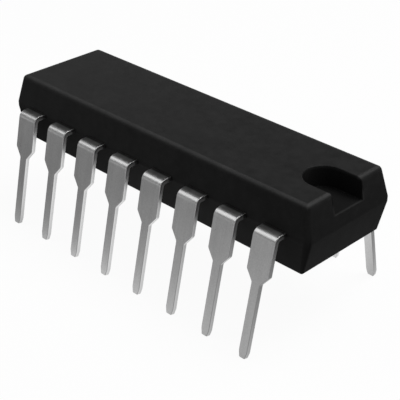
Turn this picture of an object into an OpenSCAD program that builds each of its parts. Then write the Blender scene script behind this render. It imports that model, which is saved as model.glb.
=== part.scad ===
// Dual in-line integrated circuit: a moulded body round a stamped lead frame, with the die
// and its bond wires inside. Sizes are in millimetres.
// X runs along the rows with the notch at -X, Z is up, and Z = 0 is where the lead tips stand.
// Lead 1 is at the -X, -Y corner, and the numbers run anticlockwise seen from above.

/* [Rows] */
// Leads in each row
row_leads = 8; // [5:1:10]
// Distance between neighbouring leads of a row
pitch = 2.54; // [2.4:0.01:2.7]

/* [Moulded body] */
// Distance from the centre of an end lead to the end of the body
end_margin = 1.96; // [1.6:0.01:2.4]
// Width of the body across the rows, at the parting band
body_w = 6.25; // [6.05:0.01:6.5]
// Height of the upper moulding above the parting band
upper_h = 1.62; // [1.45:0.01:2]
// Depth of the lower moulding under the parting band
lower_h = 1.78; // [1.3:0.01:2]
// Draft of both end faces, in degrees from upright
end_draft = 13; // [4:0.5:16]
// Draft of the long sides above the band, in degrees from upright
upper_side_draft = 10.5; // [4:0.5:14]
// Draft of the long sides under the band, in degrees from upright
lower_side_draft = 6.5; // [4:0.5:14]
// Radius along the upper edges
upper_edge_r = 0.28; // [0.15:0.01:0.4]
// Radius along the lower edges
lower_edge_r = 0.15; // [0.08:0.01:0.3]
// Radius of the four upright corners at the band
corner_r = 0.3; // [0.15:0.01:0.5]

/* [Notch] */
// Width of the notch at the top face
notch_w = 2.2; // [1.4:0.05:2.6]
// Length of the notch along the top face
notch_l = 2.37; // [1.6:0.01:2.6]
// Depth of the notch
notch_depth = 1.11; // [0.5:0.01:1.2]
// Draft of the walls of the notch, in degrees from upright
notch_draft = 3; // [0:0.5:8]

/* [Ejector marks] */
// Diameter of the two ejector marks on the underside
ejector_d = 1.8; // [1:0.1:2.4]
// Depth of the ejector marks
ejector_depth = 0.08; // [0.03:0.01:0.15]
// Distance from the end of the body to the centre of an ejector mark
ejector_inset = 4.35; // [3:0.05:5]

/* [Leads] */
// Thickness of the lead frame
lead_t = 0.26; // [0.2:0.01:0.3]
// Width of a lead at its shoulder
shoulder_w = 1.38; // [1.1:0.01:1.5]
// Width of the narrow leg
leg_w = 0.52; // [0.4:0.01:0.6]
// Distance from the side of the body to the outer faces of its leads, at the lead frame
lead_reach = 0.755; // [0.7:0.005:0.95]
// Lean of each leg away from upright, in degrees
splay = 12; // [0:1:18]
// Radius inside the bend
bend_r = 0.15; // [0.1:0.01:0.2]
// Drop from the lead frame to the lower end of the shoulder
shoulder_drop = 1.86; // [1.5:0.01:2.1]
// Drop from the lead frame to the lower end of the taper
taper_drop = 2.39; // [2.2:0.01:2.8]
// Drop from the lead frame to the lowest edge of the tip
lead_drop = 6.37; // [5.4:0.01:7]
// Width taken off each side of a leg at its tip
tip_chamfer_w = 0.09; // [0.04:0.01:0.15]
// Height of the chamfers at the tip
tip_chamfer_h = 0.35; // [0.1:0.01:0.6]

/* [Fingers inside the body] */
// Length of the wide part of a finger, from the side of the body inwards
anchor_l = 0.98; // [0.85:0.01:1.05]
// Diameter of the hole in each wide part, through which the moulding locks
anchor_hole_d = 0.5; // [0.3:0.01:0.55]
// Distance from the hole to the inner end of the wide part
anchor_hole_rim = 0.21; // [0.15:0.01:0.25]
// Width of a finger past its wide part
finger_w = 0.34; // [0.25:0.01:0.4]
// Most fingers of a row that end at the long side of the die pad. The rest end at its short sides
most_side_fingers = 4; // [2:1:4]
// How much further in each of those outer fingers bends than its neighbour nearer the middle
knee_step = 0.35; // [0.3:0.01:0.4]
// Distance from the die pad to the middle of the end of each finger, seen from above
tip_gap = 0.3; // [0.25:0.01:0.35]
// Distance from the wide parts to the finger ends at the long sides of the die pad
fan_depth = 0.545; // [0.5:0.005:0.6]

/* [Die pad] */
// Length of the die pad
pad_l = 4.6; // [4.2:0.05:4.8]
// How far the die pad is set down below the fingers
downset = 0.25; // [0.1:0.01:0.3]
// Width of the two tie bars that hold the die pad
tie_w = 0.36; // [0.25:0.01:0.4]
// Distance from the end of the body to the cut end of a tie bar
tie_setback = 0.35; // [0.3:0.01:0.6]

/* [Die] */
// Distance from the die to each end of the die pad
die_end_rim = 1.1; // [0.9:0.05:1.5]
// Distance from the die to each side of the die pad
die_side_rim = 0.35; // [0.25:0.05:0.6]
// Thickness of the die
die_t = 0.3; // [0.2:0.01:0.35]
// Thickness of the adhesive under the die
attach_t = 0.03; // [0.02:0.005:0.05]
// Width of the adhesive that shows round the die
attach_rim = 0.12; // [0.05:0.01:0.2]

/* [Bond wires] */
// Diameter of a bond wire
wire_d = 0.034; // [0.025:0.001:0.04]
// Diameter of the ball where a wire starts on the die
ball_d = 0.09; // [0.07:0.005:0.11]
// Height of the ball
ball_h = 0.032; // [0.02:0.001:0.04]
// About how far the loop rises above the ball
loop_h = 0.2; // [0.12:0.01:0.26]
// Distance from the edge of the die to the balls
ball_inset = 0.12; // [0.08:0.01:0.2]
// Distance from the tip of a finger to the foot of its wire
foot_inset = 0.25; // [0.18:0.01:0.35]
// Length of the flattened foot of a wire
foot_l = 0.12; // [0.08:0.01:0.16]
// Width of the flattened foot of a wire
foot_w = 0.06; // [0.04:0.005:0.08]

/* [Hidden] */
$fn = 64;
// Sides of the round parts inside the hull of the moulding.
hull_fn = 32;
// How far a cut runs past the face that it opens.
over = 0.5;
lead_count = 2 * row_leads;
body_l = (row_leads - 1) * pitch + 2 * end_margin;
frame_z = lead_drop;
top_z = frame_z + lead_t / 2 + upper_h;
bottom_z = frame_z - lead_t / 2 - lower_h;

// The bend turns about this centre, which sets the outer face of the leg at lead_reach.
bend_out_r = bend_r + lead_t;
bend_z = lead_t / 2 - bend_out_r;
bend_y = body_w / 2 + lead_reach - (bend_out_r + bend_z * sin(splay)) / cos(splay);

// Distances down the leg from the end of the bend, on its outer face.
leg_start_drop = -(bend_z + bend_out_r * sin(splay));
leg_shoulder = (shoulder_drop - leg_start_drop) / cos(splay);
leg_taper = (taper_drop - leg_start_drop) / cos(splay);
leg_l = (lead_drop - lead_t * sin(splay) - leg_start_drop) / cos(splay);

// The wide parts end here, and the finger tips stand on a rectangle round the die pad, given by
// its half sizes.
anchor_y = body_w / 2 - anchor_l;
tips_x = pad_l / 2 + tip_gap;
tips_y = anchor_y - fan_depth;
pad_w = 2 * (tips_y - tip_gap);
die_l = pad_l - 2 * die_end_rim;
die_w = pad_w - 2 * die_side_rim;
// Fingers of half a row that end at a short side of the die pad, where they share its half width.
end_fingers = ceil((row_leads - most_side_fingers) / 2);
side_tip_pitch = 2 * tips_x / (row_leads - 2 * end_fingers);
end_tip_pitch = (tips_y - tie_w / 2) / end_fingers;
// The balls of the bond wires stand on this smaller rectangle on the die, in the same order.
balls_x = die_l / 2 - ball_inset;
balls_y = die_w / 2 - ball_inset;

// Heights of the stacked pieces in the middle, from the lead frame's middle plane.
pad_top = lead_t / 2 - downset;
attach_top = pad_top + attach_t;
die_top = attach_top + die_t;

// Sides of a bond wire, and steps along its loop.
wire_sides = 8;
wire_steps = 8;
// Rings of the ball under a wire: share of its height, and radius as a share of its diameter.
ball_profile = [[0, 0.4], [0.35, 0.5], [0.75, 0.42]];
// Handles of the loop: the rise of each as a share of loop_h, and the reach of the second as a
// share of the wire's span. The first stands straight up over the ball.
loop_rise = 1.68;
loop_crown = 1.08;
loop_reach = 0.55;

// Column of lead i along X, counted in pitches from the middle of the body.
function column(i) = i <= row_leads ? i - (row_leads + 1) / 2 : (3 * row_leads + 1) / 2 - i;
// Side of the body that lead i stands on, -1 or +1.
function side(i) = i <= row_leads ? -1 : 1;
// Rank of column c, counted inwards from the nearer end of its row.
function rank(c) = (row_leads - 1) / 2 - abs(c);
// Plan of the finger in column c of the +Y row: start, knee and tip.
function finger_start(c) = [c * pitch, anchor_y];
function finger_knee(c) = [c * pitch, anchor_y - knee_step * max(0, end_fingers - rank(c))];
function finger_tip(c) = rank(c) < end_fingers
    ? [sign(c) * tips_x, tie_w / 2 + (rank(c) + 0.5) * end_tip_pitch]
    : [c * side_tip_pitch, tips_y];
// Where the wire of column c starts on the die and lands on its finger.
function ball_place(c) = [finger_tip(c)[0] * balls_x / tips_x, finger_tip(c)[1] * balls_y / tips_y];
function foot_place(c) = finger_tip(c) + foot_inset * unit(finger_knee(c) - finger_tip(c));

function unit(v) = v / norm(v);
function normal(v) = [-v[1], v[0]];
// Point at t on the cubic curve with the four control points p.
function curve(p, t) = pow(1 - t, 3) * p[0] + 3 * t * pow(1 - t, 2) * p[1]
    + 3 * t * t * (1 - t) * p[2] + pow(t, 3) * p[3];
// Direction of that curve at t.
function curve_slope(p, t) = pow(1 - t, 2) * (p[1] - p[0]) + 2 * t * (1 - t) * (p[2] - p[1])
    + t * t * (p[3] - p[2]);

// Quarter of a circle of radius r round the origin, as points.
function quarter(r, steps) = [for (k = [0 : steps]) let (a = 90 * k / steps) r * [cos(a), sin(a)]];

// Rounded corner of the top or bottom face, which lies at height h over the band.
module knob(h, side_draft, edge_r) {
    x = body_l / 2 - (h - edge_r) * tan(end_draft) - edge_r / cos(end_draft);
    y = body_w / 2 - (h - edge_r) * tan(side_draft) - edge_r / cos(side_draft);
    translate([x, y, lead_t / 2 + h - edge_r])
        rotate_extrude($fn = hull_fn)
            polygon(concat([[0, 0]], quarter(edge_r, hull_fn / 4)));
}

// The moulding before any cut: an upright band at the height of the leads, drafted above and below.
module moulding() {
    hull()
        for (mx = [0, 1], my = [0, 1])
            mirror([mx, 0, 0])
                mirror([0, my, 0]) {
                    translate([body_l / 2 - corner_r, body_w / 2 - corner_r, 0])
                        cylinder(r = corner_r, h = lead_t, center = true, $fn = hull_fn);
                    knob(upper_h, upper_side_draft, upper_edge_r);
                    mirror([0, 0, 1])
                        knob(lower_h, lower_side_draft, lower_edge_r);
                }
}

// U-shaped cut, open through the end face, with a drafted wall and a flat floor.
module notch() {
    floor_r = notch_w / 2 - notch_depth * tan(notch_draft);
    h = notch_depth + over;
    mouth_r = floor_r + h * tan(notch_draft);
    end_x = body_l / 2 - upper_h * tan(end_draft);
    translate([notch_l - notch_w / 2 - end_x, 0, top_z - notch_depth]) {
        cylinder(r1 = floor_r, r2 = mouth_r, h = h);
        translate([-notch_l, 0, 0])
            rotate([90, 0, 90])
                linear_extrude(notch_l)
                    polygon([[-floor_r, 0], [floor_r, 0], [mouth_r, h], [-mouth_r, h]]);
    }
}

// Two shallow round cuts in the underside.
module ejector_marks() {
    for (sx = [-1, 1])
        translate([sx * (body_l / 2 - ejector_inset), 0, bottom_z - over])
            cylinder(d = ejector_d, h = over + ejector_depth);
}

// Outline in plan of the finger in column c, mitred at its knee. It starts inside the wide part.
module finger_outline(c) {
    start = finger_start(c) + [0, finger_w];
    knee = finger_knee(c);
    tip = finger_tip(c);
    across_start = [finger_w / 2, 0];
    across_tip = finger_w / 2 * normal(unit(tip - knee));
    mitre = across_start + across_tip;
    across_knee = mitre * (finger_w * finger_w / 2) / (mitre * mitre);
    polygon([
        start + across_start, knee + across_knee, tip + across_tip,
        tip - across_tip, knee - across_knee, start - across_start
    ]);
}

// Flat part of a lead of the +Y row: the finger, its wide anchor and the stub out to the bend.
module finger(c) {
    translate([0, 0, frame_z - lead_t / 2])
        linear_extrude(lead_t)
            difference() {
                union() {
                    translate([c * pitch - shoulder_w / 2, anchor_y])
                        square([shoulder_w, bend_y - anchor_y]);
                    finger_outline(c);
                }
                translate([c * pitch, anchor_y + anchor_hole_rim + anchor_hole_d / 2])
                    circle(d = anchor_hole_d);
            }
}

// Outline of the leg seen from outside, with its upper end at zero.
module leg_outline() {
    half = [for (p = [
        [shoulder_w, 0],
        [shoulder_w, leg_shoulder],
        [leg_w, leg_taper],
        [leg_w, leg_l - tip_chamfer_h],
        [leg_w - 2 * tip_chamfer_w, leg_l]
    ]) [p[0] / 2, -p[1]]];
    polygon(concat(half, [for (k = [len(half) - 1 : -1 : 0]) [-half[k][0], half[k][1]]]));
}

// Bend and leg of a lead, at the middle of its row.
module bent_leg() {
    translate([0, bend_y, frame_z + bend_z])
        rotate([splay, 0, 0]) {
            rotate([90, 0, 90])
                rotate_extrude(angle = 90 - splay)
                    translate([bend_r, -shoulder_w / 2])
                        square([lead_t, shoulder_w]);
            translate([0, bend_out_r, 0])
                rotate([90, 0, 0])
                    linear_extrude(lead_t)
                        leg_outline();
        }
}

// Whole lead i, from its finger tip to the tip of its leg.
module pin(i) {
    c = side(i) * column(i);
    color("silver")
        rotate([0, 0, side(i) > 0 ? 0 : 180]) {
            finger(c);
            translate([c * pitch, 0, 0])
                bent_leg();
        }
}

// Paddle with its two tie bars, which step down from the level of the leads to the pad.
module die_pad() {
    tie_end = body_l / 2 - tie_setback;
    step_end = pad_l / 2 + downset;
    color("tan")
        translate([0, 0, frame_z]) {
            translate([-pad_l / 2, -pad_w / 2, pad_top - lead_t])
                cube([pad_l, pad_w, lead_t]);
            for (turn = [0, 180])
                rotate([90, 0, turn])
                    linear_extrude(tie_w, center = true)
                        polygon([
                            [pad_l / 2 - lead_t, pad_top],
                            [pad_l / 2, pad_top],
                            [step_end, lead_t / 2],
                            [tie_end, lead_t / 2],
                            [tie_end, -lead_t / 2],
                            [step_end, -lead_t / 2],
                            [pad_l / 2, pad_top - lead_t],
                            [pad_l / 2 - lead_t, pad_top - lead_t]
                        ]);
        }
}

// Rectangular slab on the middle of the body, between two heights from the lead frame's middle.
module block(l, w, z0, z1) {
    translate([-l / 2, -w / 2, frame_z + z0])
        cube([l, w, z1 - z0]);
}

module die_attach() {
    color("lightgray")
        block(die_l + 2 * attach_rim, die_w + 2 * attach_rim, pad_top, attach_top);
}

module die() {
    color("slategray")
        block(die_l, die_w, attach_top, die_top);
}

// Bond wire of lead i: a ball, a neck, a loop and a flattened foot. Each ring is
// [distance along the wire's run, height, half width, half depth, lean of the wire].
module wire(i) {
    c = side(i) * column(i);
    start = ball_place(c);
    run = foot_place(c) - start;
    span = norm(run);
    low = lead_t / 2;
    neck = die_top + ball_h;
    path = [
        [0, neck],
        [0, neck + loop_rise * loop_h],
        [loop_reach * span, neck + loop_crown * loop_h],
        [span, low]
    ];
    r = wire_d / 2;
    ball_rings = [for (b = ball_profile)
        [0, die_top + b[0] * ball_h, b[1] * ball_d, b[1] * ball_d, 90]];
    loop_rings = [for (k = [0 : wire_steps - 1])
        let (t = k / wire_steps, p = curve(path, t), s = curve_slope(path, t))
        [p[0], p[1], r, r, atan2(s[1], s[0])]];
    rings = concat(ball_rings, loop_rings, [[span, low, foot_w / 2, foot_l / 2, -90]]);
    points = [for (g = rings, k = [0 : wire_sides - 1])
        let (a = 360 * k / wire_sides, across = g[2] * cos(a), deep = g[3] * sin(a))
        [g[0] - deep * sin(g[4]), across, g[1] + deep * cos(g[4])]];
    last = (len(rings) - 1) * wire_sides;
    walls = [for (j = [0 : len(rings) - 2], k = [0 : wire_sides - 1])
        let (a = j * wire_sides + k, b = j * wire_sides + (k + 1) % wire_sides)
        each [[a, b, a + wire_sides], [b, b + wire_sides, a + wire_sides]]];
    ends = [[for (k = [wire_sides - 1 : -1 : 0]) k], [for (k = [0 : wire_sides - 1]) last + k]];
    color("gold")
        rotate([0, 0, side(i) > 0 ? 0 : 180])
            translate([start[0], start[1], frame_z])
                rotate([0, 0, atan2(run[1], run[0])])
                    polyhedron(points = points, faces = concat(walls, ends));
}

// Moulded body, cut by everything that it was moulded round.
module body() {
    color("dimgray")
        difference() {
            translate([0, 0, frame_z])
                moulding();
            notch();
            ejector_marks();
            for (i = [1 : lead_count]) {
                rotate([0, 0, side(i) > 0 ? 0 : 180])
                    finger(side(i) * column(i));
                wire(i);
            }
            die_pad();
            die_attach();
            die();
        }
}

body();
for (i = [1 : lead_count])
    pin(i);
die_pad();
die_attach();
die();
for (i = [1 : lead_count])
    wire(i);
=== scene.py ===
"""Sixteen-lead dual in-line integrated circuit: its looks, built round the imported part.

The moulding and the leads are surfaces worked out with numpy, with the fine rounding that a mould
and a press leave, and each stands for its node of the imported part. The die, its pad, its adhesive
and its bond wires keep the part's own shapes, and get their finishes here. Sizes are in
millimetres in the classes, and MM turns them into metres as they go into a mesh.
"""
from __future__ import annotations

import logging
import math
from dataclasses import dataclass, field
from enum import Enum
from typing import Any, Mapping, Sequence, Union

import bmesh
import bpy
import numpy as np
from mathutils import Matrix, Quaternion, Vector


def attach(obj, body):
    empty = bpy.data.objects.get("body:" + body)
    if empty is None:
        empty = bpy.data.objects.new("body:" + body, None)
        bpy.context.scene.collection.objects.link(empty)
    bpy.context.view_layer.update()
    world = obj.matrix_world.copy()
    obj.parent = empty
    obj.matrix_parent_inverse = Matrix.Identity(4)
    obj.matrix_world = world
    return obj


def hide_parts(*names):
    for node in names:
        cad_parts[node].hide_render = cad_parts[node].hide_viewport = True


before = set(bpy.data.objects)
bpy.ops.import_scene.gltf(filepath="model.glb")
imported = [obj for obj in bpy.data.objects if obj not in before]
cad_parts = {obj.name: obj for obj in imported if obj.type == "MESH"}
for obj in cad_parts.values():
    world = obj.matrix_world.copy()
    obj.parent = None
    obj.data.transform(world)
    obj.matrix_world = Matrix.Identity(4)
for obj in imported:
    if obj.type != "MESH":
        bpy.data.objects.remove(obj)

log = logging.getLogger("integrated_circuit")
MM = 0.001
SEED = 16
Colour = tuple[float, float, float, float]
Edge = tuple[float, float]  # The middle and the width of the soft edge of a zone.
Number = Union["Value", float]


class Slot(Enum):
    """Finishes of the part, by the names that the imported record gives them."""

    MOULD = "mould_compound"
    LEAD = "plated_lead"
    FRAME = "frame_alloy"
    ADHESIVE = "silver_adhesive"
    SILICON = "silicon"
    GOLD = "gold_wire"


def grey(level: float) -> Colour:
    """Opaque grey of a linear level."""
    return (level, level, level, 1.0)


# Shader trees -------------------------------------------------------------------------------------


class Value:
    """A number in a shader tree, on which Python's arithmetic adds Math nodes."""

    def __init__(self, tree: "Tree", socket: bpy.types.NodeSocket) -> None:
        """Wraps an output socket of a tree."""
        self.tree = tree
        self.socket = socket

    def _maths(self, operation: str, *terms: Number, clamp: bool = False) -> "Value":
        """Adds one Math node.

        Args:
            operation: Blender's name of the operation.
            terms: The numbers or values that go in, in order.
            clamp: Whether the result is held between 0 and 1.

        Returns:
            The result as a value.
        """
        settings = {"operation": operation, "use_clamp": clamp}
        return self.tree.add("ShaderNodeMath", settings, dict(enumerate(terms)))

    def __add__(self, other: Number) -> "Value":
        """Sum."""
        return self._maths("ADD", self, other)

    __radd__ = __add__

    def __sub__(self, other: Number) -> "Value":
        """Difference."""
        return self._maths("SUBTRACT", self, other)

    def __rsub__(self, other: float) -> "Value":
        """Difference from a plain number."""
        return self._maths("SUBTRACT", other, self)

    def __mul__(self, other: Number) -> "Value":
        """Product."""
        return self._maths("MULTIPLY", self, other)

    __rmul__ = __mul__

    def __truediv__(self, other: Number) -> "Value":
        """Quotient."""
        return self._maths("DIVIDE", self, other)

    def __abs__(self) -> "Value":
        """Size without sign."""
        return self._maths("ABSOLUTE", self)

    def __pow__(self, power: float) -> "Value":
        """Power."""
        return self._maths("POWER", self, power)

    def at_least(self, other: Number) -> "Value":
        """The greater of two."""
        return self._maths("MAXIMUM", self, other)

    def below(self, limit: float, soft: float) -> "Value":
        """1 where this is below a limit, falling to 0 over a soft edge.

        Args:
            limit: The middle of the edge.
            soft: The width of the edge.

        Returns:
            A mask from 0 to 1.
        """
        return self._maths("ADD", (limit - self) / soft, 0.5, clamp=True)


class Tree:
    """Builds one node tree, with every node made by one method."""

    def __init__(self, tree: bpy.types.NodeTree) -> None:
        """Empties a tree and keeps it."""
        tree.nodes.clear()
        self.tree = tree

    def add(
        self,
        kind: str,
        settings: Mapping[str, Any] | None = None,
        inputs: Mapping[Union[str, int], Any] | None = None,
        out: Union[str, int] = 0,
    ) -> Value | None:
        """Adds one node, sets it, and feeds it.

        Args:
            kind: Blender's name of the node's type.
            settings: The node's own settings, which are set first.
            inputs: What goes into each socket, by name or number: a value, a number or a colour.
            out: The output that is returned.

        Returns:
            The chosen output as a value, or None from a node that has no outputs.
        """
        node = self.tree.nodes.new(kind)
        for key, setting in (settings or {}).items():
            setattr(node, key, setting)
        for key, given in (inputs or {}).items():
            if isinstance(given, Value):
                self.tree.links.new(given.socket, node.inputs[key])
            else:
                node.inputs[key].default_value = given
        return Value(self, node.outputs[out]) if node.outputs else None

    def place(self) -> Value:
        """Object coordinates, which are the part's own frame in metres."""
        return self.add("ShaderNodeTexCoord", out="Object")

    def axes(self) -> tuple[Value, Value, Value]:
        """The three object coordinates, in millimetres."""
        parts = self.add("ShaderNodeSeparateXYZ", inputs={0: self.place()}).socket.node.outputs
        return tuple(Value(self, socket) / MM for socket in parts)

    def attribute(self, name: str) -> Value:
        """A number that the mesh carries at each point."""
        return self.add("ShaderNodeAttribute", {"attribute_name": name}, out="Fac")

    def sight(self) -> tuple[Value, Value, Value]:
        """Whether light is followed from the camera, from a glossy surface, or through glass."""
        kinds = ("Is Camera Ray", "Is Glossy Ray", "Is Transmission Ray")
        return tuple(self.add("ShaderNodeLightPath", out=kind) for kind in kinds)

    def noise(
        self, cells: float, detail: float = 3.0, stretch: Sequence[float] = (1, 1, 1)
    ) -> Value:
        """Noise from 0 to 1 in object coordinates.

        Args:
            cells: Cells to the millimetre.
            detail: Finer layers that are added.
            stretch: Factors on the three coordinates. A low one draws the pattern out.

        Returns:
            The noise as a value.
        """
        where = self.add("ShaderNodeMapping", inputs={
            "Vector": self.place(), "Location": (SEED, SEED / 3, SEED / 7),
            "Scale": tuple(cells / MM * factor for factor in stretch)})
        return self.add("ShaderNodeTexNoise", inputs={
            "Vector": where, "Scale": 1.0, "Detail": detail})

    def mix(self, share: Number, first: Any, second: Any) -> Value:
        """Colour that goes from first to second as share goes from 0 to 1."""
        inputs = {0: share, 6: first, 7: second}
        return self.add("ShaderNodeMix", {"data_type": "RGBA"}, inputs, out=2)

    def bump(self, height: Value, depth: float) -> Value:
        """Normal of a surface whose height is a value times a depth in millimetres."""
        return self.add("ShaderNodeBump", inputs={"Height": height, "Distance": depth * MM})


@dataclass(frozen=True)
class Finish:
    """A finish of the part. Each kind fills in the sockets of its own shader."""

    slot: Slot
    specular: float = 0.5

    def build(self) -> bpy.types.Material:
        """Makes the material.

        Returns:
            The material, named for its slot.
        """
        material = bpy.data.materials.new(self.slot.value)
        material.use_nodes = True
        tree = Tree(material.node_tree)
        sockets = {"Specular IOR Level": self.specular, **self.sockets(tree)}
        shader = tree.add("ShaderNodeBsdfPrincipled", inputs=sockets)
        tree.add("ShaderNodeOutputMaterial", inputs={"Surface": shader})
        return material

    def sockets(self, tree: Tree) -> dict[str, Any]:
        """Works out the Principled shader's inputs.

        Args:
            tree: The material's tree, in which the nodes are made.

        Returns:
            What goes into each socket, by the socket's name.
        """
        raise NotImplementedError


@dataclass(frozen=True)
class MouldCompound(Finish):
    """Black filled epoxy: spark-eroded grain, pale filler flecks, a burnished parting band, smooth
    ejector marks and a torn gate on the far end.

    A painted highlight pales it along the edges of the top face and on the lip of the notch.
    Painted shade blackens it in the notch and behind the leads, and a little over its lower half,
    and painted light pales it towards the far end. Noises are in cells to the millimetre.
    """

    slot: Slot = Slot.MOULD
    specular: float = 0.1
    dark: float = 0.0125
    pale: float = 0.027
    fleck: float = 0.06
    # Colour of the painted highlights on the top edges and on the notch's lip.
    edge_highlight: float = 0.048
    # Colour of the painted shade.
    painted_shade: float = 0.005
    roughness: float = 0.5
    grain: float = 0.0035
    cloud_cells: float = 0.7
    blotch_cells: float = 2.4
    fine_cells: float = 16.0
    tooth_cells: float = 44.0
    fleck_cells: float = 11.0
    fleck_edge: Edge = (0.12, 0.1)
    half_length: float = 10.85
    top_z: float = 8.12
    band_z: float = 6.37
    band: Edge = (0.13, 0.03)
    ejector_x: float = 6.5
    ejector_r: Edge = (0.86, 0.05)
    underside: Edge = (4.6, 0.02)
    gate_x: Edge = (10.82, 0.02)
    gate_y: Edge = (0.55, 0.08)
    rim: tuple[float, float] = (10.33, 2.67)
    rim_edge: Edge = (0.09, 0.1)
    rim_drop: Edge = (0.22, 0.06)
    notch_x: Edge = (-8.1, 0.1)
    notch_y: Edge = (1.16, 0.02)
    notch_floor: Edge = (7.0, 0.02)
    mouth_drop: Edge = (0.12, 0.12)
    lip_x: Edge = (-10.62, 0.06)
    low_soft: float = 0.4
    row_y: Edge = (2.75, 0.1)
    # Shares of the painted shade, and of the painted highlight on the notch's lip.
    painted_shade_share: float = 0.9
    lower_half_shade: float = 0.3
    lip_highlight_share: float = 0.25

    def under_top(self, z: Value, drop: Edge) -> Value:
        """1 where a height is more than a drop below the top face."""
        return z.below(self.top_z - drop[0], drop[1])

    def sockets(self, tree: Tree) -> dict[str, Any]:
        """Mottled near-black with flecks, rougher and smoother zones, and grain as bump.

        Args:
            tree: The material's tree.

        Returns:
            The inputs by name.
        """
        x, y, z = tree.axes()
        cloud = tree.noise(self.cloud_cells, 4)
        blotch = tree.noise(self.blotch_cells, 3)
        fine = tree.noise(self.fine_cells, 2)
        flecks = tree.add("ShaderNodeTexVoronoi", {"feature": "F1"}, {
            "Vector": tree.place(), "Scale": self.fleck_cells / MM}).below(*self.fleck_edge)
        band = abs(z - self.band_z).below(*self.band)
        reach = ((abs(x) - self.ejector_x) ** 2 + y ** 2) ** 0.5
        ejector = reach.below(*self.ejector_r) * z.below(*self.underside)
        gate = (1 - x.below(*self.gate_x)) * abs(y).below(*self.gate_y) * band
        # Painted light: paler towards the far end and darker towards the notch's end.
        painted_light_gradient = (x / self.half_length + 1) * 0.5
        # Painted highlight along the edges of the top face, mottled.
        rim = abs((abs(x) - self.rim[0]).at_least(abs(y) - self.rim[1])).below(*self.rim_edge)
        rim = rim * (1 - self.under_top(z, self.rim_drop)) * (cloud * 0.8 + fine * 0.6)
        # Painted shade in the notch, which is also rougher; its lip by the end face gets a painted
        # highlight instead.
        notch = x.below(*self.notch_x) * abs(y).below(*self.notch_y)
        notch = notch * (1 - z.below(*self.notch_floor)) * self.under_top(z, self.mouth_drop)
        lip = notch * x.below(*self.lip_x)
        notch = notch - lip
        # Painted shade behind the leads, and a little over the whole lower half.
        low = z.below(self.band_z, self.low_soft)
        shade_behind_leads = (1 - abs(y).below(*self.row_y)) * low
        painted_shade = notch.at_least(shade_behind_leads).at_least(low * self.lower_half_shade)

        tone = painted_light_gradient * 0.6 + (cloud - 0.5) * 0.9 + (blotch - 0.5) * 0.9 + fine * 0.3
        base = tree.mix(tone, grey(self.dark), grey(self.pale))
        base = tree.mix(flecks * fine * 0.5, base, grey(self.fleck))
        # Then painted highlights on the top edges and the notch's lip, and the painted shade.
        base = tree.mix(rim, base, grey(self.edge_highlight))
        base = tree.mix(painted_shade * self.painted_shade_share, base, grey(self.painted_shade))
        base = tree.mix(lip * self.lip_highlight_share, base, grey(self.edge_highlight))
        rough = self.roughness + (cloud - 0.5) * 0.16 + (blotch - 0.5) * 0.14 + (fine - 0.5) * 0.1
        rough = rough - band * 0.06 - ejector * 0.14 + gate * 0.25 + notch * 0.25
        height = fine * 0.75 + tree.noise(self.tooth_cells, 1) * 0.25
        height = height * (1 - ejector * 0.7) + gate * fine * 3
        return {"Base Color": base, "Roughness": rough, "Normal": tree.bump(height, self.grain)}


@dataclass(frozen=True)
class LeadPlating(Finish):
    """Matt tin over drawn copper alloy: fine marks along each lead, cloudy patches, and the torn
    lower zone that a press leaves on the cut sides.

    The corners between the faces and the cut sides are darker, a little less so round the bend,
    and painted shade darkens the stub by the moulding. Noises are in cells to the millimetre.
    """

    slot: Slot = Slot.LEAD
    bright: float = 0.76
    dull: float = 0.54
    cut: float = 0.8
    # Colour of the darker corners between the faces and the cut sides.
    edge: float = 0.25
    # Colour of the painted shade where the lead leaves the moulding.
    contact_shade: float = 0.08
    roughness: float = 0.32
    marks: float = 0.0007
    streak_cells: float = 7.0
    streak_draw: tuple[float, float, float] = (1, 0.05, 0.03)
    cloud_cells: float = 1.1
    pit_cells: float = 13.0
    torn_depth: Edge = (0.55, 0.2)
    stub_y: Edge = (3.52, 0.1)
    leg_z: Edge = (5.7, 0.4)
    bend_share: float = 0.7
    corner_dark_share: float = 0.6
    # Reach and share of that painted shade.
    contact_shade_y: Edge = (3.3, 0.12)
    contact_shade_share: float = 0.85

    def sockets(self, tree: Tree) -> dict[str, Any]:
        """Metal with drawn streaks in colour, roughness and bump, darker corners and painted shade.

        The mesh says how far each point is on a cut side, from 0 to 1, and the product of that
        and what is left of 1 is greatest halfway, so four times it is 1 on a corner.

        Args:
            tree: The material's tree.

        Returns:
            The inputs by name.
        """
        _, y, z = tree.axes()
        streaks = tree.noise(self.streak_cells, 3, self.streak_draw)
        cloud = tree.noise(self.cloud_cells, 4)
        pits = tree.noise(self.pit_cells, 3)
        side = tree.attribute("cut_side")
        torn = side * tree.attribute("depth").below(*self.torn_depth)
        corner = side * (1 - side) * 4
        leg_or_stub = z.below(*self.leg_z).at_least(abs(y).below(*self.stub_y))
        corner_darkening = leg_or_stub.at_least(self.bend_share)
        # Painted shade over the stub where the lead leaves the moulding.
        contact_shaded = abs(y).below(*self.contact_shade_y)

        tone = streaks * 0.5 + cloud * 0.3 + (pits - 0.5) * 0.9 + 0.1
        base = tree.mix(tone, grey(self.dull), grey(self.bright))
        base = tree.mix(side * (0.8 + streaks * 0.2) - torn * 0.15, base, grey(self.cut))
        # Darker on the corners between the faces and the cut sides, less so round the bend.
        base = tree.mix(corner * corner_darkening * self.corner_dark_share, base, grey(self.edge))
        # Painted shade where the lead leaves the moulding.
        base = tree.mix(contact_shaded * self.contact_shade_share, base, grey(self.contact_shade))
        rough = self.roughness + (cloud - 0.5) * 0.16 + (streaks - 0.5) * 0.12 + torn * 0.12
        rough = rough + corner * 0.2
        height = streaks * (1 - side) + pits * (0.25 + torn * 2)
        return {"Base Color": base, "Metallic": 1.0, "Roughness": rough,
                "Normal": tree.bump(height, self.marks)}


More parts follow.
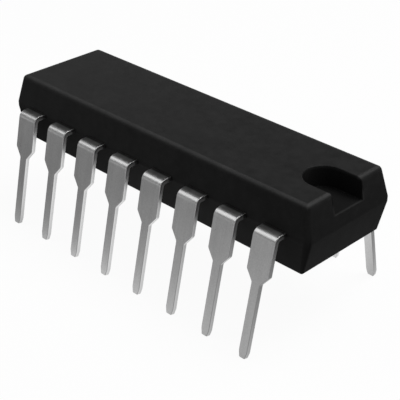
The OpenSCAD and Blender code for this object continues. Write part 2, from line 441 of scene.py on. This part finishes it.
@dataclass(frozen=True)
class FrameAlloy(Finish):
    """Rolled copper alloy, with a silver-plated spot under the die."""

    slot: Slot = Slot.FRAME
    alloy: Colour = (0.71, 0.4, 0.25, 1.0)
    silver: Colour = (0.76, 0.75, 0.72, 1.0)
    line: float = 0.25
    line_from: float = 0.35
    spot_x: Edge = (2.15, 0.05)
    spot_y: Edge = (1.15, 0.05)
    rolled_cells: float = 14.0
    cloud_cells: float = 1.6
    marks: float = 0.002

    def sockets(self, tree: Tree) -> dict[str, Any]:
        """Two metals parted by a soft-edged rectangle, with rolling marks along X.

        Args:
            tree: The material's tree.

        Returns:
            The inputs by name.
        """
        x, y, _ = tree.axes()
        rolled = tree.noise(self.rolled_cells, 2, (0.04, 1, 1))
        cloud = tree.noise(self.cloud_cells, 3)
        plated = abs(x).below(*self.spot_x) * abs(y).below(*self.spot_y)
        base = tree.mix(plated * (0.85 + cloud * 0.3), self.alloy, self.silver)
        base = tree.mix((rolled - self.line_from).at_least(0) * 0.5, base, grey(self.line))
        rough = 0.26 + rolled * 0.2 + plated * 0.08
        return {"Base Color": base, "Metallic": 1.0, "Roughness": rough,
                "Normal": tree.bump(rolled, self.marks)}


@dataclass(frozen=True)
class SilverAdhesive(Finish):
    """Cured epoxy filled with silver flakes."""

    slot: Slot = Slot.ADHESIVE
    flake: float = 0.62
    resin: float = 0.3
    flake_cells: float = 40.0
    resin_edge: Edge = (0.46, 0.1)
    ripple_cells: float = 20.0
    ripple: float = 0.004

    def sockets(self, tree: Tree) -> dict[str, Any]:
        """Bright flakes, with darker, duller and less metallic resin between them.

        Args:
            tree: The material's tree.

        Returns:
            The inputs by name.
        """
        resin = tree.noise(self.flake_cells, 2).below(*self.resin_edge)
        base = tree.mix(resin, grey(self.flake), grey(self.resin))
        return {"Base Color": base, "Metallic": 0.8 - resin * 0.5, "Roughness": 0.38 + resin * 0.3,
                "Normal": tree.bump(tree.noise(self.ripple_cells), self.ripple)}


@dataclass(frozen=True)
class Silicon(Finish):
    """Die with rows of cells, larger blocks, a pale scribe line at its rim and bond pads."""

    slot: Slot = Slot.SILICON
    half: tuple[float, float] = (1.2, 0.95)
    pads: tuple[tuple[float, float], ...] = (
        (0.27, 0.83), (0.81, 0.83), (1.08, 0.646), (1.08, 0.2775))
    pad: Edge = (0.06, 0.008)
    margin: Edge = (0.2, 0.01)
    scribe: Edge = (0.04, 0.01)
    row_scale: float = 9.0
    block_cells: float = 1.7
    block_edge: Edge = (0.4, 0.01)
    relief: float = 0.001
    ground: Colour = (0.055, 0.06, 0.085, 1.0)
    cells: Colour = (0.12, 0.11, 0.17, 1.0)
    blocks: Colour = (0.09, 0.15, 0.13, 1.0)
    aluminium: Colour = (0.8, 0.8, 0.79, 1.0)

    def inside(self, x: Value, y: Value, border: Edge) -> Value:
        """1 where a place is further than a border from all four rims."""
        deep, soft = border
        return abs(x).below(self.half[0] - deep, soft) * abs(y).below(self.half[1] - deep, soft)

    def sockets(self, tree: Tree) -> dict[str, Any]:
        """Brick rows and square-celled blocks, masked off near the rim, with metal pads.

        Args:
            tree: The material's tree.

        Returns:
            The inputs by name.
        """
        x, y, _ = tree.axes()
        rows = tree.add("ShaderNodeTexBrick", {"offset": 0.37}, {
            "Vector": tree.place(), "Color1": grey(0), "Color2": grey(1), "Mortar": grey(0.4),
            "Scale": self.row_scale / MM, "Mortar Size": 0.06, "Brick Width": 0.9,
            "Row Height": 0.35}, out="Color")
        areas = tree.add("ShaderNodeTexVoronoi", {"distance": "CHEBYCHEV"}, {
            "Vector": tree.place(), "Scale": self.block_cells / MM}, out="Color")
        block = tree.add("ShaderNodeSeparateColor", inputs={0: areas}).below(*self.block_edge)
        base = tree.mix(rows, self.ground, self.cells)
        base = tree.mix(block, base, self.blocks)
        base = tree.mix(self.inside(x, y, self.margin), self.ground, base)
        metal = (1 - self.inside(x, y, self.scribe)) * 0.5
        for px, py in self.pads:
            near = abs(abs(x) - px).at_least(abs(abs(y) - py))
            metal = metal.at_least(near.below(*self.pad))
        return {"Base Color": tree.mix(metal, base, self.aluminium), "Metallic": metal,
                "Roughness": 0.18 + metal * 0.2, "Normal": tree.bump(rows, self.relief)}


@dataclass(frozen=True)
class GoldWire(Finish):
    """Drawn gold, a little uneven in tone and polish."""

    slot: Slot = Slot.GOLD
    gold: Colour = (1.0, 0.7, 0.3, 1.0)
    deep: Colour = (0.82, 0.5, 0.16, 1.0)
    cloud_cells: float = 9.0
    grain_cells: float = 60.0
    grain: float = 0.0008

    def sockets(self, tree: Tree) -> dict[str, Any]:
        """Gold that drifts in tone and roughness.

        Args:
            tree: The material's tree.

        Returns:
            The inputs by name.
        """
        cloud = tree.noise(self.cloud_cells, 3)
        return {"Base Color": tree.mix(cloud, self.gold, self.deep), "Metallic": 1.0,
                "Roughness": 0.16 + cloud * 0.22,
                "Normal": tree.bump(tree.noise(self.grain_cells, 1), self.grain)}


# Meshes -------------------------------------------------------------------------------------------


def ring_faces(rows: int, columns: int) -> list[list[int]]:
    """Faces of a tube of closed rings with a flat cap on each end.

    The points are numbered ring by ring. Where a ring runs anticlockwise seen from the next ring's
    side, the faces point outwards.

    Args:
        rows: Rings.
        columns: Points of a ring.

    Returns:
        Point numbers of each face, walls first.
    """
    start, step = np.meshgrid(np.arange(rows - 1) * columns, np.arange(columns), indexing="ij")
    after = (step + 1) % columns
    walls = np.stack([start + step, start + after,
                      start + after + columns, start + step + columns], -1)
    first = np.arange(columns)[::-1]
    last = (rows - 1) * columns + np.arange(columns)
    return walls.reshape(-1, 4).tolist() + [first.tolist(), last.tolist()]


def make_mesh(name: str, points: np.ndarray, faces: Sequence[Sequence[int]]) -> bpy.types.Object:
    """Makes an object at the origin from points in millimetres.

    Args:
        name: Name of the object and its mesh.
        points: Points, three numbers each.
        faces: Point numbers of each face.

    Returns:
        The object, in the scene.
    """
    mesh = bpy.data.meshes.new(name)
    mesh.from_pydata((points.reshape(-1, 3) * MM).tolist(), [], faces)
    mesh.validate()
    made = bpy.data.objects.new(name, mesh)
    bpy.context.scene.collection.objects.link(made)
    return made


def set_numbers(mesh: bpy.types.Mesh, name: str, numbers: np.ndarray) -> None:
    """Writes one number for each point of a mesh, for its material to read."""
    attribute = mesh.attributes.new(name, "FLOAT", "POINT")
    attribute.data.foreach_set("value", numbers.astype(np.float32))


def dress(
    piece: bpy.types.Object, finish: Finish, materials: dict[Slot, bpy.types.Material]
) -> None:
    """Gives a piece its material, made once for each slot.

    Args:
        piece: The object.
        finish: The finish that it takes.
        materials: The materials made so far, which this adds to.
    """
    if finish.slot not in materials:
        materials[finish.slot] = finish.build()
    if piece.material_slots:
        for slot in piece.material_slots:
            slot.material = materials[finish.slot]
    else:
        piece.data.materials.append(materials[finish.slot])


@dataclass
class Lead:
    """One lead: a flat stub out of the moulding, a bend and a tapered leg, with its hidden finger.

    It is built on the side of positive Y and turned to its own side at the end. The stub starts
    sunk in the moulding, and the finger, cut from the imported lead, overlaps it there.
    """

    number: int
    row_leads: int = 8
    pitch: float = 2.54
    body_w: float = 6.25
    frame_z: float = 6.37
    thickness: float = 0.26
    shoulder_w: float = 1.38
    leg_w: float = 0.52
    reach: float = 0.755
    splay: float = 12.0
    bend_r: float = 0.15
    shoulder_drop: float = 1.86
    taper_drop: float = 2.39
    tip_chamfer_w: float = 0.09
    tip_chamfer_h: float = 0.35
    sunk: float = 0.08
    overlap: float = 0.02
    outer_round: float = 0.04
    inner_round: float = 0.018
    tip_round: float = 0.05
    blend: float = 0.035
    weld: float = 1e-4
    arc_points: int = 5
    stub_points: int = 4
    bend_points: int = 19
    shoulder_points: int = 6
    corner_points: int = 9
    corner_reach: float = 0.12
    leg_points: int = 8
    tip_points: int = 7

    @property
    def side(self) -> int:
        """Side of the body that the lead stands on, -1 or 1."""
        return -1 if self.number <= self.row_leads else 1

    @property
    def column(self) -> float:
        """Place along the row before it is turned to its side.

        Returns:
            Pitches from the middle of the row.
        """
        n = self.row_leads
        along = self.number - (n + 1) / 2 if self.side < 0 else (3 * n + 1) / 2 - self.number
        return self.side * along

    def measures(self) -> tuple[float, float, float, float]:
        """The path's lengths.

        Returns:
            Where the stub starts in Y, the stub's length, the bend's length, and the leg's length.
        """
        lean = math.radians(self.splay)
        outer = self.bend_r + self.thickness
        bend_y = self.body_w / 2 + self.reach - (
            outer - (self.bend_r + self.thickness / 2) * math.sin(lean)) / math.cos(lean)
        start = self.body_w / 2 - self.sunk
        bend = (self.bend_r + self.thickness / 2) * (math.pi / 2 - lean)
        leg = (self.frame_z - self.thickness * math.sin(lean) - self._leg_top()) / math.cos(lean)
        return start, bend_y - start, bend, leg

    def _leg_top(self) -> float:
        """Drop from the lead frame to the top of the leg's outer face."""
        outer = self.bend_r + self.thickness
        return self.bend_r + self.thickness / 2 - outer * math.sin(math.radians(self.splay))

    def widths(self, down: np.ndarray) -> np.ndarray:
        """Half width at distances down the leg.

        The outline is straight between its corners, and each corner is softened: the half width is
        the mean of the straight outline over a short bell-shaped window, which reaches two of its
        standard deviations each way.

        Args:
            down: Distances from the top of the leg. They are negative on the bend and the stub.

        Returns:
            Half widths.
        """
        lean = math.cos(math.radians(self.splay))
        length = self.measures()[3]
        slope = self.tip_chamfer_w / self.tip_chamfer_h
        before, past = -9, 1
        places = [before, (self.shoulder_drop - self._leg_top()) / lean,
                  (self.taper_drop - self._leg_top()) / lean, length - self.tip_chamfer_h,
                  length + past]
        halves = [self.shoulder_w / 2, self.shoulder_w / 2, self.leg_w / 2, self.leg_w / 2,
                  self.leg_w / 2 - slope * (self.tip_chamfer_h + past)]
        window = np.linspace(-2, 2, 9)
        weight = np.exp(-window ** 2 / 2)
        spread = np.interp(down[:, None] + self.blend * window, places, halves)
        return spread @ (weight / weight.sum())

    def stations(self) -> np.ndarray:
        """Chooses where along the path the section is worked out, closer where it changes.

        Returns:
            Distances along the path, rising.
        """
        _, stub, bend, leg = self.measures()
        lean = math.cos(math.radians(self.splay))
        top = stub + bend
        shoulder = top + (self.shoulder_drop - self._leg_top()) / lean
        taper = top + (self.taper_drop - self._leg_top()) / lean
        end = top + leg
        chamfer = end - self.tip_chamfer_h
        reach = self.corner_reach
        near = np.linspace(-reach, reach, self.corner_points)
        rounding = 1 - np.sin(np.linspace(0, math.pi / 2, self.tip_points))
        parts = [np.linspace(0, stub, self.stub_points),
                 np.linspace(stub, top, self.bend_points),
                 np.linspace(top, shoulder - reach, self.shoulder_points),
                 shoulder + near, taper + near,
                 np.linspace(taper + reach, chamfer - reach, self.leg_points),
                 chamfer + near, end - self.tip_round * rounding]
        return np.unique(np.concatenate(parts).round(7))

    def surface(self) -> tuple[np.ndarray, np.ndarray, np.ndarray, np.ndarray]:
        """The stub, bend and leg, as a rounded rectangle carried along the path.

        The middle of the sheet runs straight out, turns about the bend's centre by a right angle
        less the splay, and runs straight down. The section at a distance along it is a rectangle
        of the width there and the sheet's thickness, with a quarter circle at each corner. At the
        tip the section shrinks by a quarter circle. The normal is the section's normal, leaned
        back by how fast the width changes, and leaned on to the path's direction round the tip.

        Returns:
            Points and normals on a grid of station and place round the section, and for each
            point how far it is on a cut side, as the squared cosine of its angle, and how far it
            is from the inner face, at 0, to the outer one, at 1.
        """
        s = self.stations()
        start_y, stub, bend, leg = self.measures()
        radius = self.bend_r + self.thickness / 2
        turn = np.clip((s - stub) / radius, 0, bend / radius)
        lean = math.pi / 2 - turn
        down = np.clip(s - stub - bend, 0, None)
        y = start_y + np.minimum(s, stub) + radius * np.cos(lean) + down * np.sin(lean)
        z = self.frame_z - radius + radius * np.sin(lean) - down * np.cos(lean)
        on_bend = ((s > stub) & (s < stub + bend)) / radius
        over = np.clip((s - (stub + bend + leg - self.tip_round)) / self.tip_round, 0, 1)
        shrink = self.tip_round * (1 - np.sqrt(1 - over ** 2))
        half_w = self.widths(s - stub - bend)
        widen = np.gradient(half_w, s)

        quarter = np.linspace(0, math.pi / 2, self.arc_points)
        angle = np.concatenate([quarter + k * math.pi / 2 for k in range(4)])[::-1]
        sign_x = np.repeat([1, -1, -1, 1], self.arc_points)[::-1]
        sign_t = np.repeat([1, 1, -1, -1], self.arc_points)[::-1]
        corner = np.where(sign_t > 0, self.outer_round, self.inner_round)
        across = sign_x * ((half_w - shrink)[:, None] - corner) + corner * np.cos(angle)
        deep = sign_t * ((self.thickness / 2 - shrink)[:, None] - corner) + corner * np.sin(angle)

        cos, sin = np.cos(lean)[:, None], np.sin(lean)[:, None]
        points = np.stack([across + self.column * self.pitch, y[:, None] + deep * cos,
                           z[:, None] + deep * sin], -1)
        face = np.sqrt(1 - over ** 2)[:, None]
        along = over[:, None] - face * np.cos(angle) * sign_x * widen[:, None] / (
            1 + on_bend[:, None] * deep)
        normals = np.stack([np.cos(angle) * face, np.sin(angle) * face * cos + along * sin,
                            np.sin(angle) * face * sin - along * cos], -1)
        normals /= np.linalg.norm(normals, axis=-1, keepdims=True)
        cut = np.broadcast_to(np.abs(np.cos(angle)), across.shape) ** 2
        return points, normals, cut, 0.5 + deep / self.thickness

    def hidden_finger(self) -> tuple[np.ndarray, list[list[int]]]:
        """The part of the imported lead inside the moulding: its mesh, merged, cut off and closed.

        Returns:
            Points in millimetres, and the point numbers of each face.
        """
        cut = bmesh.new()
        cut.from_mesh(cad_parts[f"pin_{self.number}"].data)
        bmesh.ops.remove_doubles(cut, verts=cut.verts, dist=self.weld * MM)
        edge = Vector((0, self.side * (self.measures()[0] + self.overlap) * MM, 0))
        bmesh.ops.bisect_plane(
            cut, geom=[*cut.verts, *cut.edges, *cut.faces], dist=self.weld * MM, plane_co=edge,
            plane_no=edge.normalized(), clear_outer=True)
        bmesh.ops.holes_fill(cut, edges=[e for e in cut.edges if e.is_boundary])
        bmesh.ops.recalc_face_normals(cut, faces=cut.faces)
        cut.verts.index_update()
        points = np.array([v.co for v in cut.verts]) / MM
        faces = [[v.index for v in face.verts] for face in cut.faces]
        cut.free()
        return points, faces

    def build(self) -> bpy.types.Object:
        """Builds the lead as one piece.

        Walls of the outer part get the exact normals of their surface, and every other face is
        flat.

        Returns:
            The lead, in the scene.
        """
        points, normals, cut, depth = self.surface()
        turned = np.array([self.side, self.side, 1.0])
        inner, inner_faces = self.hidden_finger()
        outer = (points * turned).reshape(-1, 3)
        faces = ring_faces(*points.shape[:2]) + [[i + len(outer) for i in f] for f in inner_faces]
        piece = make_mesh(f"lead_{self.number}", np.concatenate([outer, inner]), faces)
        mesh = piece.data
        mesh.shade_smooth()
        set_numbers(mesh, "cut_side", np.concatenate([cut.ravel(), np.zeros(len(inner))]))
        set_numbers(mesh, "depth", np.concatenate([depth.ravel(), np.zeros(len(inner))]))
        corner_point = np.empty(len(mesh.loops), np.int32)
        corners = np.empty(len(mesh.polygons), np.int32)
        flat = np.empty(len(mesh.polygons) * 3, np.float32)
        mesh.loops.foreach_get("vertex_index", corner_point)
        mesh.polygons.foreach_get("loop_total", corners)
        mesh.polygons.foreach_get("normal", flat)
        finished = np.repeat(flat.reshape(-1, 3), corners, axis=0)
        wall = (corner_point < len(outer)) & (np.repeat(corners, corners) == 4)
        finished[wall] = (normals * turned).reshape(-1, 3)[corner_point[wall]]
        mesh.normals_split_custom_set(finished.tolist())
        return piece


@dataclass
class Moulding:
    """The moulded body: drafted above and below its band, rounded, and cut by its notch.

    Its cutters reach beyond it. A turn is the angle through which a small round runs.
    """

    length: float = 21.7
    width: float = 6.25
    band: float = 0.26
    frame_z: float = 6.37
    upper_h: float = 1.62
    lower_h: float = 1.78
    end_draft: float = 13.0
    upper_draft: float = 10.5
    lower_draft: float = 6.5
    upper_round: float = 0.28
    lower_round: float = 0.15
    corner_round: float = 0.3
    notch_w: float = 2.2
    notch_l: float = 2.37
    notch_depth: float = 1.11
    notch_draft: float = 3.0
    notch_rim: float = 0.045
    notch_floor_round: float = 0.06
    ejector_d: float = 1.8
    ejector_depth: float = 0.08
    ejector_inset: float = 4.35
    ejector_softening: tuple[tuple[float, float], ...] = ((0, 0.02), (0.015, 0.006), (0.03, 0))
    floor_turn: tuple[float, float] = (0, 84)
    rim_turn: tuple[float, float] = (10, 76)
    beyond: float = 0.5
    crisp_from: float = 28.0
    corner_points: int = 15
    round_points: int = 14
    notch_round_points: int = 6
    notch_points: int = 49
    ejector_points: int = 64

    def half_shell(self, height: float, side_draft: float, edge: float) -> np.ndarray:
        """Rings from the band's rim to the flat face of one half.

        Each corner of the flat face is a ball of the edge's radius, and the band's corner is a
        circle. For each direction in plan, the wall is the straight line that touches both. It
        meets the ball where a plane that leans by the angle p touches band and ball alike: with D
        the distance from the ball's centre out to the band and H the height between them, D cos p
        less H sin p equals the radius. From there the ring follows the ball up to its pole.

        Args:
            height: Height of the flat face over the band.
            side_draft: Draft of the long sides, in degrees.
            edge: Radius along the edges.

        Returns:
            Points over the band's middle, on a grid of ring and direction.
        """
        quarter = np.linspace(0, math.pi / 2, self.corner_points)
        theta = np.concatenate([quarter + k * math.pi / 2 for k in range(4)])
        sx = np.repeat([1, -1, -1, 1], self.corner_points)
        sy = np.repeat([1, 1, -1, -1], self.corner_points)
        inner = height - edge
        end, side = math.radians(self.end_draft), math.radians(side_draft)
        ball_x = self.length / 2 - inner * math.tan(end) - edge / math.cos(end)
        ball_y = self.width / 2 - inner * math.tan(side) - edge / math.cos(side)
        rim_x, rim_y = self.length / 2 - self.corner_round, self.width / 2 - self.corner_round
        out = (rim_x - ball_x) * np.abs(np.cos(theta)) + (
            rim_y - ball_y) * np.abs(np.sin(theta)) + self.corner_round
        span = np.hypot(out, inner)
        first = np.arccos(edge / span) - np.arctan2(inner, out)
        tilt = first + (math.pi / 2 - first) * np.linspace(0, 1, self.round_points)[:, None]
        ball = np.stack([sx * ball_x + edge * np.cos(theta) * np.cos(tilt),
                         sy * ball_y + edge * np.sin(theta) * np.cos(tilt),
                         self.band / 2 + inner + edge * np.sin(tilt)], -1)
        rim = np.stack([sx * rim_x + self.corner_round * np.cos(theta),
                        sy * rim_y + self.corner_round * np.sin(theta),
                        np.full_like(theta, self.band / 2)], -1)
        return np.concatenate([rim[None], ball])

    def shell(self) -> bpy.types.Object:
        """Builds the uncut block, from the rings of both halves.

        Returns:
            The block, in the scene.
        """
        upper = self.half_shell(self.upper_h, self.upper_draft, self.upper_round)
        lower = self.half_shell(self.lower_h, self.lower_draft, self.lower_round) * [1, 1, -1]
        rings = np.concatenate([lower[::-1], upper]) + [0, 0, self.frame_z]
        return make_mesh("moulding", rings, ring_faces(*rings.shape[:2]))

    def notch(self) -> bpy.types.Object:
        """Cutter of the notch: a U in plan, its wall a profile of offset against height.

        The wall rises from a small round at the floor with its draft, and flares over a small
        round at the top face, so that the rim is as soft as the mould leaves it.

        Returns:
            The cutter, in the scene.
        """
        top = self.frame_z + self.band / 2 + self.upper_h
        draft = math.tan(math.radians(self.notch_draft))
        half = self.notch_w / 2
        floor_z, floor_w = top - self.notch_depth, half - self.notch_depth * draft
        low = np.radians(np.linspace(*self.floor_turn, self.notch_round_points))
        high = np.radians(np.linspace(*self.rim_turn, self.notch_round_points))
        r, f = self.notch_floor_round, self.notch_rim
        offset = np.concatenate([
            floor_w - r + r * np.sin(low), half + f * (1 - np.cos(high)), [half + f]])
        height = np.concatenate([
            floor_z + r * (1 - np.cos(low)), top - f + f * np.sin(high), [top + self.beyond]])
        turn = np.radians(np.linspace(-90, 90, self.notch_points))
        centre = -(self.length / 2 - self.upper_h * math.tan(math.radians(self.end_draft))) + (
            self.notch_l - self.notch_w / 2)
        x = centre + offset[:, None] * np.cos(turn)
        y = offset[:, None] * np.sin(turn)
        mouth = np.full((len(offset), 1), -self.length / 2 - self.beyond)
        x, y = np.hstack([mouth, x, mouth]), np.hstack([-offset[:, None], y, offset[:, None]])
        rings = np.stack([x, y, np.broadcast_to(height[:, None], x.shape)], -1)
        return make_mesh("notch_cutter", rings, ring_faces(*rings.shape[:2]))

    def ejector(self, sign: int) -> bpy.types.Object:
        """Cutter of one ejector mark: a round pin with a softened end.

        Its radius and height follow the steps of the softening, each given as how far it is in
        from the rim and how far it is short of the full depth.

        Args:
            sign: The end of the body, -1 or 1 along X.

        Returns:
            The cutter, in the scene.
        """
        under = self.frame_z - self.band / 2 - self.lower_h
        turn = np.linspace(0, 2 * math.pi, self.ejector_points, endpoint=False)
        inwards, short = np.array(self.ejector_softening).T
        radius = self.ejector_d / 2 - np.concatenate([[0], inwards])[:, None]
        height = under + np.concatenate([[-self.beyond], self.ejector_depth - short])
        x = sign * (self.length / 2 - self.ejector_inset) + radius * np.cos(turn)
        y = radius * np.sin(turn)
        rings = np.stack([x, y, np.broadcast_to(height[:, None], x.shape)], -1)
        return make_mesh("ejector_cutter", rings, ring_faces(*rings.shape[:2]))

    def build(self) -> bpy.types.Object:
        """Cuts the shell, and gives it smooth rounds and crisp rims.

        Returns:
            The moulding, in the scene.
        """
        piece = self.shell()
        cutters = [self.notch(), self.ejector(-1), self.ejector(1)]
        for cutter in cutters:
            cut = piece.modifiers.new(cutter.name, "BOOLEAN")
            cut.object, cut.operation, cut.solver = cutter, "DIFFERENCE", "EXACT"
        bpy.context.view_layer.update()
        result = bpy.data.meshes.new_from_object(
            piece.evaluated_get(bpy.context.evaluated_depsgraph_get()))
        piece.modifiers.clear()
        piece.data = result
        for cutter in cutters:
            bpy.data.objects.remove(cutter)
        result.name = piece.name
        result.shade_smooth()
        result.set_sharp_from_angle(angle=math.radians(self.crisp_from))
        weighted = piece.modifiers.new("face_weighted_normals", "WEIGHTED_NORMAL")
        weighted.keep_sharp = True
        return piece


# Studio -------------------------------------------------------------------------------------------


@dataclass(frozen=True)
class Lamp:
    """A soft square lamp that faces the part."""

    name: str
    azimuth: float
    elevation: float
    distance: float
    size: float
    radiance: float

    def build(self, centre: Vector) -> bpy.types.Object:
        """Places the lamp. Its power is pi times its area times its radiance.

        Args:
            centre: The point that it faces, in metres.

        Returns:
            The lamp.
        """
        a, e = math.radians(self.azimuth), math.radians(self.elevation)
        away = Vector((math.cos(e) * math.cos(a), math.cos(e) * math.sin(a), math.sin(e)))
        data = bpy.data.lights.new(self.name, "AREA")
        data.shape, data.size = "SQUARE", self.size * MM
        data.energy = math.pi * (self.size * MM) ** 2 * self.radiance
        lamp = bpy.data.objects.new(self.name, data)
        lamp.location = centre + away * self.distance * MM
        lamp.rotation_mode = "QUATERNION"
        lamp.rotation_quaternion = (-away).to_track_quat("-Z", "Y")
        bpy.context.scene.collection.objects.link(lamp)
        return lamp


@dataclass
class Studio:
    """Pale floor, white background, soft lamps, and the camera at the photograph's place.

    Metal sees white too, but graded: a round white pool under and behind the part, a dimmer floor
    round it with a glow in front, and a white band at the horizon.
    """

    camera_at: tuple[float, float, float] = (-36.937, 36.440, 33.006)
    camera_turn: tuple[float, float, float, float] = (0.330622, 0.189181, -0.463045, -0.800306)
    lens: float = 98.757
    shift: tuple[float, float] = (-0.00099, -0.0002)
    sensor: float = 36.0
    clip: tuple[float, float] = (0.001, 10.0)
    aim_z: float = 5.0
    floor_half: float = 1500.0
    floor_tone: float = 0.16
    floor_seen: float = 0.95
    floor_white: float = 0.95
    pool_at: tuple[float, float] = (2.0, -5.0)
    pool_r: float = 11.5
    far_floor: float = 0.18
    front_floor: float = 0.06
    front_glow: float = 0.3
    front_y: Edge = (3.5, 5.0)
    glow_x: Edge = (6.0, 22.0)
    horizon: float = 0.5
    ceiling: float = 0.07
    sweep: Edge = (0.3, 0.6)
    white_band: Edge = (0.08, 0.16)
    lamps: Sequence[Lamp] = field(default_factory=lambda: (
        Lamp("softbox", 38, 50, 110, 72, 1.2),
        Lamp("overhead_softbox", 228, 64, 120, 76, 6.2),
    ))

    def world(self) -> None:
        """White behind the part, and for light a sweep that dims from the horizon upwards.

        The camera and glass see white everywhere. Metal sees it in a band at the horizon and below,
        and above it the sweep.
        """
        world = bpy.data.worlds.new("studio")
        bpy.context.scene.world = world
        world.use_nodes = True
        tree = Tree(world.node_tree)
        way = tree.add("ShaderNodeTexCoord", out="Generated")
        height = tree.add("ShaderNodeSeparateXYZ", inputs={0: way}, out="Z")
        sweep = height.below(*self.sweep) * (self.horizon - self.ceiling) + self.ceiling
        camera, metal, glass = tree.sight()
        white = camera.at_least(glass).at_least(metal * height.below(*self.white_band))
        light = tree.add("ShaderNodeBackground", inputs={
            "Color": grey(1.0), "Strength": white.at_least(sweep)})
        tree.add("ShaderNodeOutputWorld", inputs={"Surface": light})

    def floor(self) -> bpy.types.Object:
        """Pale floor that keeps the part's shadow, and is clear from below.

        To the camera and through glass it is nearly white. Metal sees that white in a round pool
        under and behind the part, and a dimmer floor further off: the level falls as one over one
        plus the eighth power of the distance in pool radii. The dim floor is a little brighter in
        front of the part, on the side of positive Y, and glows there towards the notch's end.

        Returns:
            The floor, in the scene.
        """
        h = self.floor_half
        points = np.array([[-h, -h, 0], [h, -h, 0], [h, h, 0], [-h, h, 0]], float)
        floor = make_mesh("floor", points, [[0, 1, 2, 3]])
        material = bpy.data.materials.new("pale_floor")
        material.use_nodes = True
        tree = Tree(material.node_tree)
        camera, metal, glass = tree.sight()
        clear_sight = camera.at_least(glass)
        matt = tree.add("ShaderNodeBsdfDiffuse", inputs={
            "Color": tree.mix(clear_sight, grey(self.floor_tone), grey(self.floor_seen))})
        x, y, _ = tree.axes()
        pool_x, pool_y = self.pool_at
        away_squared = ((x - pool_x) / self.pool_r) ** 2 + ((y - pool_y) / self.pool_r) ** 2
        glow = x.below(*self.glow_x) * self.front_glow
        dim = (glow + self.front_floor) * (1 - y.below(*self.front_y)) + self.far_floor
        pool = (away_squared ** 4 + 1) ** -1 * (1 - dim) + dim
        white = tree.add("ShaderNodeEmission", inputs={
            "Color": grey(1.0), "Strength": clear_sight.at_least(pool)})
        seen = clear_sight.at_least(metal) * self.floor_white
        top = tree.add("ShaderNodeMixShader", inputs={0: seen, 1: matt, 2: white})
        clear = tree.add("ShaderNodeBsdfTransparent")
        behind = tree.add("ShaderNodeNewGeometry", out="Backfacing")
        surface = tree.add("ShaderNodeMixShader", inputs={0: behind, 1: top, 2: clear})
        tree.add("ShaderNodeOutputMaterial", inputs={"Surface": surface})
        floor.data.materials.append(material)
        return floor

    def camera(self) -> bpy.types.Object:
        """Places the camera where the fit to the photograph puts it.

        Returns:
            The camera.
        """
        data = bpy.data.cameras.new("camera")
        data.sensor_width, data.lens = self.sensor, self.lens
        data.shift_x, data.shift_y = self.shift
        data.clip_start, data.clip_end = self.clip
        camera = bpy.data.objects.new("camera", data)
        camera.location = Vector(self.camera_at) * MM
        camera.rotation_mode = "QUATERNION"
        camera.rotation_quaternion = Quaternion(self.camera_turn)
        bpy.context.scene.collection.objects.link(camera)
        bpy.context.scene.camera = camera
        return camera

    def build(self) -> None:
        """Builds the whole studio."""
        bpy.context.scene.view_settings.view_transform = "Standard"
        self.world()
        self.floor()
        self.camera()
        for lamp in self.lamps:
            lamp.build(Vector((0, 0, self.aim_z * MM)))


@dataclass
class Circuit:
    """The whole part: the new pieces, and the finishes of the nodes that keep their shape."""

    row_leads: int = 8
    materials: dict[Slot, bpy.types.Material] = field(default_factory=dict)

    def put(self, piece: bpy.types.Object, finish: Finish, *nodes: str) -> None:
        """Dresses a new piece, joins it to the part, and reports it.

        Args:
            piece: The object.
            finish: Its finish.
            nodes: The nodes that it stands for.
        """
        dress(piece, finish, self.materials)
        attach(piece, "root")
        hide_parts(*nodes)
        faces = len(piece.data.polygons)
        log.info("%s: %d faces, stands for %s", piece.name, faces, ", ".join(nodes))

    def build(self) -> None:
        """Builds the moulding and the leads, and dresses what lies inside."""
        self.put(Moulding().build(), MouldCompound(), "body")
        for number in range(1, 2 * self.row_leads + 1):
            self.put(Lead(number, self.row_leads).build(), LeadPlating(), f"pin_{number}")
        inner = {"die_pad": FrameAlloy(), "die_attach": SilverAdhesive(), "die": Silicon()}
        inner.update({f"wire_{n}": GoldWire() for n in range(1, 2 * self.row_leads + 1)})
        for name, finish in inner.items():
            dress(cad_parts[name], finish, self.materials)
            log.info("%s: keeps its shape, in %s", name, finish.slot.value)


def main() -> None:
    """Builds the studio and the part."""
    logging.basicConfig(level=logging.INFO, format="%(name)s: %(message)s")
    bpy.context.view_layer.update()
    Studio().build()
    Circuit().build()


if __name__ == "__main__":
    main()
